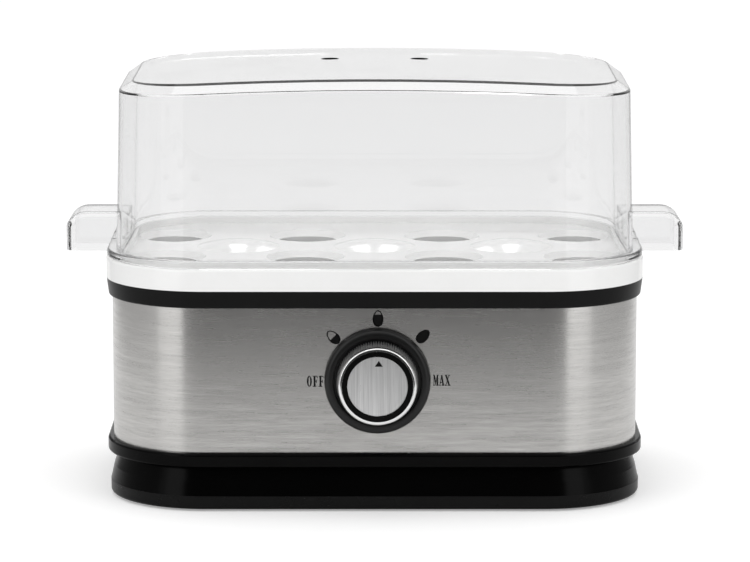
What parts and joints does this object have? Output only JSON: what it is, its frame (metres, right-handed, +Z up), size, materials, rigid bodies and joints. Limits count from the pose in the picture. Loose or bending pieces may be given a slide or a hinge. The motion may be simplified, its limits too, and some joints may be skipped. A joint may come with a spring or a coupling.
{
  "type": "egg boiler",
  "caption": "Countertop egg boiler: steel-clad base with a front knob and water pan, white egg tray, clear domed lid with side handles.",
  "frame": {"origin": "middle of the bounding box's base, on the table under the feet", "axes": "+Z up, the knob on the front towards -Y, +X to the right as seen from the front"},
  "size_m": [0.2498, 0.1518, 0.1701],
  "materials": {
    "clear_plastic": "clear moulded plastic, polished",
    "white_plastic": "satin-gloss white",
    "black_plastic": "glossy black",
    "brushed_steel": "horizontal brush",
    "chrome": "polished, serrated grip",
    "disc_aluminium": "fine brush, satin",
    "pan_coat": "satin, uncoated",
    "aluminium": "plain sheet",
    "element_sheath": "matt oxidised sheath",
    "plated_steel": "bright zinc plate",
    "brass": "plain",
    "rubber": "matt",
    "silicone": "matt",
    "inner_plastic": "matt",
    "block_plastic": "matt",
    "brown_wire": "matt",
    "blue_wire": "matt",
    "green_wire": "matt"
  },
  "bodies": {
    "base": {"bottom_cover": "black_plastic", "rubber_feet": "rubber", "lower_housing": "black_plastic", "steel_band": "brushed_steel", "top_ring": "black_plastic", "casing_screws": "plated_steel", "heating_pan": "pan_coat", "pan_gasket": "silicone", "heat_spreader": "aluminium", "heating_element": "element_sheath", "element_pins": "plated_steel", "heat_shield": "plated_steel", "lead_sleeve": "silicone", "shield_studs": "plated_steel", "shield_nuts": "plated_steel", "earth_tag": "brass", "dry_boil_cutout": "inner_plastic", "cutout_strap": "plated_steel", "thermal_fuse": "aluminium", "fuse_clip": "plated_steel", "knob_bezel": "black_plastic", "control_bracket": "plated_steel", "bracket_screws": "plated_steel", "control_case": "inner_plastic", "control_back": "inner_plastic", "control_contact": "brass", "control_tabs": "brass", "buzzer": "inner_plastic", "buzzer_screws": "plated_steel", "terminal_block": "block_plastic", "block_screw": "plated_steel", "cord_clamp": "inner_plastic", "clamp_screws": "plated_steel", "cord_bushing": "rubber", "live_lead": "brown_wire", "heater_lead": "brown_wire", "cutout_lead": "brown_wire", "return_lead": "blue_wire", "earth_lead": "green_wire", "buzzer_lead": "brown_wire"},
    "knob": {"knob_body": "black_plastic", "knob_sleeve": "chrome", "knob_disc": "disc_aluminium", "knob_clip": "plated_steel", "control_shaft": "plated_steel", "control_cam": "inner_plastic"},
    "tray": {"egg_tray": "white_plastic"},
    "lid": {"egg_lid": "clear_plastic"}
  },
  "joints": [
    {"name": "knob_turn", "type": "hinge", "parent": "base", "child": "knob", "pos_m": [0.0011, -0.06285, 0.0523], "axis": [0, 1, 0], "range_deg": [-90, 90]},
    {"name": "tray_lift", "type": "slide", "parent": "base", "child": "tray", "axis": [0, 0, 1], "range_m": [0, 0.12]},
    {"name": "lid_lift", "type": "slide", "parent": "tray", "child": "lid", "axis": [0, 0, 1], "range_m": [0, 0.12]}
  ]
}
